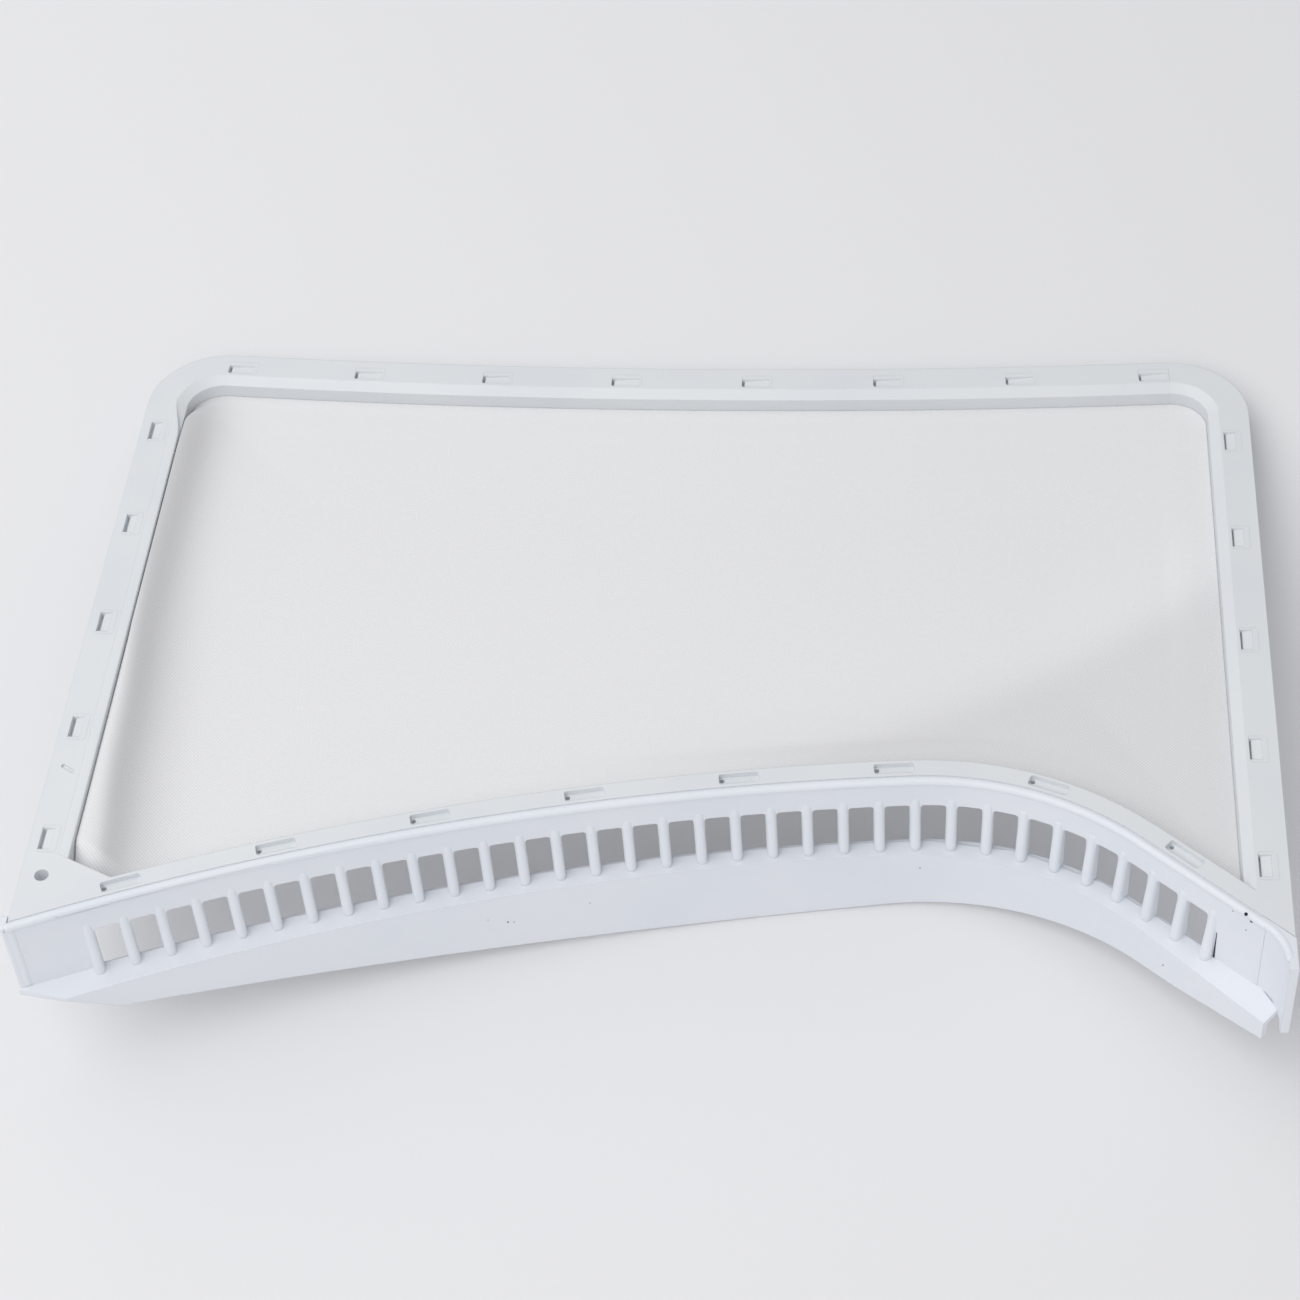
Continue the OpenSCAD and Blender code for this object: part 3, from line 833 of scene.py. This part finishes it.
@dataclass
class MeshFrame:
    """The flat frame: rails, flange and gusset, carried over from CAD.

    Its own pieces are the left rail's square inner edge and the blocks that
    shape the pockets in its rails.
    """

    finish: MouldedPolypropylene = MouldedPolypropylene(
        "polypropylene_frame_injection_moulded", "E6E9EC", "E2E6EA"
    )
    # The lip along the left rail.
    lip_edge_x: float = -198.25
    lip_ends: tuple[float, float] = (-18.0, -247.5)
    lip_half_h: float = 1.62
    lip_half_w: float = 1.9
    lip_least_w: float = 0.05
    lip_widens: Growth = Growth(-18.0, -22.0)
    lip_rings: int = 120
    # Where the pockets lie in the rails.
    pitch: float = 50.0
    bow_r: float = 2778.0
    half_w: float = 209.2
    pocket_in: float = 6.7
    far_pockets: int = 8
    side_pockets: int = 5
    side_first_y: float = -37.0
    # The blocks in a pocket: floor and flush height, the half length and half
    # width that they fill together, and the half length and the one side up to
    # which the pocket stays open.
    pocket_floor: float = -2.72
    flush_z: float = -0.02
    fill_l: float = 5.8
    fill_w: float = 3.2
    open_l: float = 4.6
    open_w: float = 1.0
    # Where a ramp starts, and how high it is at its start and its end.
    far_ramp_start: float = -4.8
    far_ramp_tops: tuple[float, float] = (-1.0, -0.35)
    side_ramp_start: float = -2.2
    side_ramp_shift: float = 0.2
    side_ramp_tops: tuple[float, float] = (-1.1, -0.35)

    def build(self, node: bpy.types.Object) -> list[bpy.types.Object]:
        """Dresses the CAD node and builds the frame's own pieces.

        Args:
            node: the CAD frame.

        Returns:
            The new pieces.
        """
        material = dress_node(node, self.finish)
        pieces = [self.build_lip(), self.build_ramps()]
        for piece in pieces:
            piece.data.materials.append(material)
            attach(piece, "root")
        return pieces

    def build_lip(self) -> bpy.types.Object:
        """Fills the left rail's inner edge, which is square.

        A boxy section is carried along the rail. Its width grows by a smooth
        step from the far end, and its left side keeps to the rail.

        Returns:
            The lip.
        """
        y = np.linspace(*self.lip_ends, self.lip_rings)
        half = self.lip_least_w + self.lip_half_w * self.lip_widens.at(y)
        path = np.column_stack([half + self.lip_edge_x, y, np.full(len(y), -self.lip_half_h)])
        bar = rounded_bar(path, RIGHT, UP, half, self.lip_half_h, power=9.0, around=32)
        return shell_piece("left_rail_lip", [bar])

    def wedge(
        self, at: tuple[float, float], turn: float,
        x: tuple[float, float], y: tuple[float, float], tops: tuple[float, float],
    ) -> np.ndarray:
        """A block on a pocket's floor whose upper face slopes along x.

        Its section in x and height stands at both values of y, is turned by
        cosine and sine, and is then moved to the pocket's centre.

        Args:
            at: the pocket's centre, flat mm.
            turn: how far the pocket is turned, radians.
            x: the block's left and right end in the pocket, mm.
            y: its near and far side, mm.
            tops: height of its upper face at the left and the right end, mm.

        Returns:
            Array (2, 4, 3).
        """
        floor = self.pocket_floor
        ring = np.array([(x[0], floor), (x[1], floor), (x[1], tops[1]), (x[0], tops[0])])
        local = np.stack([
            np.column_stack([ring[:, 0], np.full(4, side), ring[:, 1]]) for side in y
        ])
        c, s = math.cos(turn), math.sin(turn)
        return np.stack([
            at[0] + c * local[..., 0] - s * local[..., 1],
            at[1] + s * local[..., 0] + c * local[..., 1],
            local[..., 2],
        ], axis=-1)

    def far_blocks(self, k: int) -> list[np.ndarray]:
        """The blocks in one pocket of the far rail: a ramp, which leaves the left
        end deep, and two flush blocks that narrow the pocket.

        Args:
            k: the pocket's number, from the left.

        Returns:
            The blocks.
        """
        out = self.bow_r + self.pocket_in
        turn = math.asin((k - (self.far_pockets - 1) / 2) * self.pitch / out)
        at = (out * math.sin(turn), self.bow_r - out * math.cos(turn))
        flush = (self.flush_z, self.flush_z)
        fill_l, fill_w = self.fill_l, self.fill_w
        ramp = (self.far_ramp_start, self.open_l)
        return [
            self.wedge(at, turn, ramp, (-fill_w, self.open_w), self.far_ramp_tops),
            self.wedge(at, turn, (-fill_l, fill_l), (self.open_w, fill_w), flush),
            self.wedge(at, turn, (self.open_l, fill_l), (-fill_w, self.open_w), flush),
        ]

    def side_blocks(self, side: int, k: int) -> list[np.ndarray]:
        """The blocks in one pocket of a side rail: a ramp and three flush blocks.

        Args:
            side: -1 for the left rail, 1 for the right one.
            k: the pocket's number, from the far end.

        Returns:
            The blocks.
        """
        at = (side * (self.half_w - self.pocket_in), self.side_first_y - self.pitch * k)
        flush = (self.flush_z, self.flush_z)
        fill_l, fill_w, open_l = self.fill_l, self.fill_w, self.open_l
        ramp = (self.side_ramp_start - self.side_ramp_shift * side, self.open_w)
        return [
            self.wedge(at, 0.0, ramp, (-open_l, open_l), self.side_ramp_tops),
            self.wedge(at, 0.0, (self.open_w, fill_w), (-fill_l, fill_l), flush),
            self.wedge(at, 0.0, (-fill_w, self.open_w), (open_l, fill_l), flush),
            self.wedge(at, 0.0, (-fill_w, self.open_w), (-fill_l, -open_l), flush),
        ]

    def build_ramps(self) -> bpy.types.Object:
        """Joins the blocks of all pockets in one piece.

        Returns:
            The piece.
        """
        bars = [block for k in range(self.far_pockets) for block in self.far_blocks(k)]
        for side in (-1, 1):
            for k in range(self.side_pockets):
                bars += self.side_blocks(side, k)
        return shell_piece("pocket_ramps", bars, smooth=False)


@dataclass
class GrilleHandle:
    """The curved grille handle: the CAD node, its softer moulded edges, its marks.

    Places along it are measured on WALL_LINE from the wall's left end, and a
    name with behind in it is a distance toward the wall's back.
    """

    finish: MouldedPolypropylene = MouldedPolypropylene(
        "polypropylene_handle_injection_moulded", "ECEFF5", "E8ECF3"
    )
    # The dark finish of the specks and of the painted shadow beside the last rib.
    grit_and_shadow: MouldedPolypropylene = MouldedPolypropylene(
        "dark_grit_and_painted_shadow", "17151C", "17151C"
    )
    # The ribs, whose top and foot are depths under the frame's upper face.
    rib_first: float = 26.0
    rib_pitch: float = 12.25
    rib_count: int = 33
    rib_half_w: float = 1.95
    rib_top: float = 9.2
    rib_foot: float = 34.6
    rib_out: float = 3.5
    rib_depth: float = 2.4
    rib_behind: float = 2.3
    rib_dome: float = 1.6
    rib_rings: int = 26
    # The bead on the wall's upper edge, and the hollow at the right end.
    bead_start: float = -0.6
    straight_end: float = 437.0
    bead_r: float = 1.5
    bead_z: float = -1.05
    bead_behind: float = 0.75
    bead_dome: float = 1.2
    bead_rings: tuple[int, int] = (420, 30)
    hollow_hub: tuple[float, float] = (188.5, -274.96)
    hollow_r: float = 18.0
    hollow_turn: float = 47.0
    # The rounded upright corner at the wall's left end.
    corner_at: tuple[float, float] = (-209.0, -272.7)
    corner_ends: tuple[float, float] = (-1.0, -33.4)
    corner_r: float = 2.35
    corner_dome: float = 1.2
    corner_rings: int = 30
    # The strip in the joint between frame and handle.
    seam_start: float = 1.0
    seam_past: float = 6.0
    seam_behind: float = 2.3
    seam_z: float = -0.85
    seam_half_w: float = 0.34
    seam_half_h: float = 0.45
    seam_rings: int = 300
    # The painted shadow beside the last rib's foot: a dark bar.
    painted_shadow_beside: float = 0.45
    painted_shadow_behind: float = -0.02
    painted_shadow_ends: tuple[float, float] = (-19.5, -33.0)
    painted_shadow_half_ws: tuple[float, float] = (0.12, 0.42)
    painted_shadow_depth: float = 0.12
    painted_shadow_rings: int = 14
    # The specks: the rings in one, and then each one's middle and radius.
    speck_rings: int = 11
    specks: tuple[tuple[float, float, float, float], ...] = (
        (194.03, -256.92, -0.2, 0.6), (196.0, -257.7, -2.6, 0.6), (190.43, -253.02, -3.74, 0.2),
        (194.8, -256.71, -8.78, 0.2), (-51.68, -231.0, -48.03, 0.29),
        (-49.69, -230.51, -48.59, 0.2), (-58.2, -232.59, -45.08, 0.16),
        (-23.49, -224.59, -44.53, 0.17), (89.77, -208.53, -41.23, 0.23),
        (171.15, -245.98, -43.1, 0.24),
    )

    def build_ribs(self) -> bpy.types.Object:
        """Round-nosed ribs, one bar for each.

        A bar is a superellipse carried on a straight line from its top to its
        foot. It leans out of the wall: flush above, standing out at the shelf.

        Returns:
            The ribs as one piece.
        """
        share = np.linspace(0, 1, self.rib_rings)[:, None]
        bars = []
        for k in range(self.rib_count):
            run = np.array([self.rib_first + k * self.rib_pitch])
            base, side = wall_path(run, 0.0, 0.0)
            back = side[0]
            along = np.array([back[1], -back[0], 0.0])
            top = base[0] + self.rib_behind * back - self.rib_top * UP
            foot = base[0] + (self.rib_behind - self.rib_out) * back - self.rib_foot * UP
            lean = (foot - top) / np.linalg.norm(foot - top)
            bars.append(rounded_bar(
                top + share * (foot - top), along, np.cross(lean, along),
                self.rib_half_w, self.rib_depth, power=2.5, around=20, dome=self.rib_dome,
            ))
        return shell_piece("rib_noses", bars)

    def build_rim(self) -> bpy.types.Object:
        """The rounded bead on the wall's upper edge.

        A nearly round section follows the wall, and then an arc round the concave
        right end, whose points are its hub plus the radius times cosine and sine.

        Returns:
            The bead.
        """
        on_wall, on_arc = self.bead_rings
        run = np.linspace(self.bead_start, self.straight_end, on_wall)
        path, _ = wall_path(run, self.bead_behind, self.bead_z)
        turn = np.radians(np.linspace(self.hollow_turn, 0.0, on_arc))
        out = self.hollow_r + self.bead_behind
        arc = np.column_stack([
            self.hollow_hub[0] + out * np.cos(turn),
            self.hollow_hub[1] + out * np.sin(turn),
            np.full(on_arc, self.bead_z),
        ])
        path = np.concatenate([path, arc])
        step = np.gradient(path, axis=0)
        step /= np.linalg.norm(step, axis=1, keepdims=True)
        side = np.stack([-step[:, 1], step[:, 0], np.zeros(len(path))], axis=1)
        bar = rounded_bar(
            path, side, UP, self.bead_r, self.bead_r, power=2.3, around=24, dome=self.bead_dome
        )
        return shell_piece("rim_bead", [bar])

    def build_corner(self) -> bpy.types.Object:
        """The upright rounded corner at the wall's left end, a straight post.

        Returns:
            The post.
        """
        share = np.linspace(0, 1, self.corner_rings)[:, None]
        top, foot = (np.array([*self.corner_at, z]) for z in self.corner_ends)
        bar = rounded_bar(
            top + share * (foot - top), RIGHT, AWAY, self.corner_r, self.corner_r,
            power=2.4, dome=self.corner_dome,
        )
        return shell_piece("corner_post", [bar])

    def build_seam(self) -> bpy.types.Object:
        """The witness line where frame and handle meet: a thin strip along the
        wall, just below the upper faces, that closes the fit gap.

        Returns:
            The strip.
        """
        run = np.linspace(self.seam_start, self.straight_end + self.seam_past, self.seam_rings)
        path, side = wall_path(run, self.seam_behind, self.seam_z)
        bar = rounded_bar(
            path, side, UP, self.seam_half_w, self.seam_half_h, power=4.0, around=12
        )
        return shell_piece("seam_strip", [bar])

    def speck(self, at: tuple[float, float, float], radius: float) -> np.ndarray:
        """A small ball: circles on an upright line, shrunk by the section's dome.

        Args:
            at: its middle, flat mm.
            radius: its radius, mm.

        Returns:
            Array (rings, points round, 3).
        """
        rise = np.linspace(-radius, radius, self.speck_rings)[:, None]
        return rounded_bar(
            np.array(at) + rise * UP, RIGHT, AWAY, radius, radius, around=14, dome=radius
        )

    def build_marks(self) -> bpy.types.Object:
        """The dark marks: specks half sunk in the plastic, and a painted shadow beside
        the last rib's foot, a flat dark bar that widens downward.

        Returns:
            The marks as one piece.
        """
        bars = [self.speck(at, radius) for *at, radius in self.specks]
        # A painted shadow: a dark bar beside the last rib's foot, where its shade falls on the
        # wall.
        last_rib = self.rib_first + self.rib_pitch * (self.rib_count - 1)
        beside = last_rib + self.rib_half_w + self.painted_shadow_beside
        base, side = wall_path(np.array([beside]), self.painted_shadow_behind, 0.0)
        drop = np.linspace(*self.painted_shadow_ends, self.painted_shadow_rings)
        half = np.linspace(*self.painted_shadow_half_ws, self.painted_shadow_rings)
        along = np.array([side[0][1], -side[0][0], 0.0])
        path = base + drop[:, None] * UP
        bars.append(rounded_bar(path, along, side[0], half, self.painted_shadow_depth, around=10))
        return shell_piece("specks_and_painted_shadow", bars)

    def build(self, node: bpy.types.Object) -> list[bpy.types.Object]:
        """Dresses the node and builds the handle's own pieces.

        Args:
            node: the CAD handle.

        Returns:
            The new pieces.
        """
        material = dress_node(node, self.finish)
        pieces = [self.build_ribs(), self.build_rim(), self.build_corner(), self.build_seam()]
        for piece in pieces:
            piece.data.materials.append(material)
            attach(piece, "root")
        marks = self.build_marks()
        marks.data.materials.append(self.grit_and_shadow.build())
        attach(marks, "root")
        return [*pieces, marks]


@dataclass(frozen=True)
class Softbox:
    """A square soft lamp aimed at the middle of the filter, in metres and watts."""

    name: str
    power: float
    at: tuple[float, float, float]
    size: float = 1.7

    def build(self) -> None:
        """Makes the lamp and aims it at the origin, under the filter's middle."""
        lamp = bpy.data.lights.new(self.name, "AREA")
        lamp.shape, lamp.size, lamp.energy = "SQUARE", self.size, self.power
        holder = bpy.data.objects.new(self.name, lamp)
        holder.location = self.at
        holder.rotation_euler = (-Vector(self.at)).to_track_quat("-Z", "Y").to_euler()
        bpy.context.scene.collection.objects.link(holder)


@dataclass
class Studio:
    """A pale floor, large soft lamps, and the photograph's camera.

    Lamps and floor are in metres. The camera's place is in millimetres, and its
    directions are unit vectors, all in the world's frame.
    """

    floor_half: float = 4.0
    sky: tuple[float, float, float, float] = (0.985, 0.99, 1.0, 1.0)
    world_strength: float = 0.46
    lamps: tuple[Softbox, ...] = (
        Softbox("softbox_left_front", 16.5, (-0.7, -0.6, 1.8)),
        Softbox("softbox_back", 8.0, (-0.9, 0.9, 1.5)),
        Softbox("softbox_low_front", 3.6, (0.5, -1.5, 0.9)),
    )
    camera_at: tuple[float, float, float] = (89.868, -508.263, 967.952)
    camera_right: tuple[float, float, float] = (0.995864, 0.057146, -0.070631)
    camera_down: tuple[float, float, float] = (0.016293, -0.877144, -0.479951)
    camera_ahead: tuple[float, float, float] = (-0.089381, 0.476815, -0.874448)
    lens: float = 83.1268
    sensor: float = 36.0
    clip: tuple[float, float] = (0.05, 20.0)

    def build_floor(self) -> None:
        """Lays a flat board at the height on which the filter rests."""
        side = np.linspace(-self.floor_half, self.floor_half, 3)
        gx, gy = np.meshgrid(side, side, indexing="ij")
        floor = grid_piece("floor", np.stack([gx, gy, np.zeros_like(gx)], axis=-1))
        floor.data.materials.append(PaintedBoard().build())

    def build_lights(self) -> None:
        """Makes an even sky light and the soft lamps."""
        world = bpy.data.worlds.new("studio")
        world.use_nodes = True
        tree = world.node_tree
        tree.nodes.clear()
        sky = add_node(
            tree, "ShaderNodeBackground",
            {"Color": self.sky, "Strength": self.world_strength},
        )
        add_node(tree, "ShaderNodeOutputWorld", {}, {"Surface": sky.outputs["Background"]})
        bpy.context.scene.world = world
        for lamp in self.lamps:
            lamp.build()

    def build_camera(self) -> None:
        """Sets up the photograph's camera, from its fitted place and directions."""
        data = bpy.data.cameras.new("camera")
        data.lens, data.sensor_width = self.lens, self.sensor
        data.clip_start, data.clip_end = self.clip
        camera = bpy.data.objects.new("camera", data)
        right, up = Vector(self.camera_right), -Vector(self.camera_down)
        back = -Vector(self.camera_ahead)
        turn = Matrix((right, up, back)).transposed().to_4x4()
        camera.matrix_world = Matrix.Translation(Vector(self.camera_at) * MM) @ turn
        bpy.context.scene.collection.objects.link(camera)
        bpy.context.scene.camera = camera


def main() -> None:
    """Builds the scene piece by piece."""
    logging.basicConfig(level=logging.INFO, format="%(name)s: %(message)s")
    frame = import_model()
    scene = bpy.context.scene
    scene.view_settings.view_transform = "Standard"
    studio = Studio()
    studio.build_camera()
    studio.build_floor()
    studio.build_lights()
    pieces = MeshFrame().build(frame["nodes"]["mesh_frame"])
    pieces += GrilleHandle().build(frame["nodes"]["grille_handle"])
    screen = MeshScreen().build(WovenNylon())
    for piece in [*pieces, screen]:
        LOG.info("%s: %d faces", piece.name, len(piece.data.polygons))


if __name__ == "__main__":
    main()
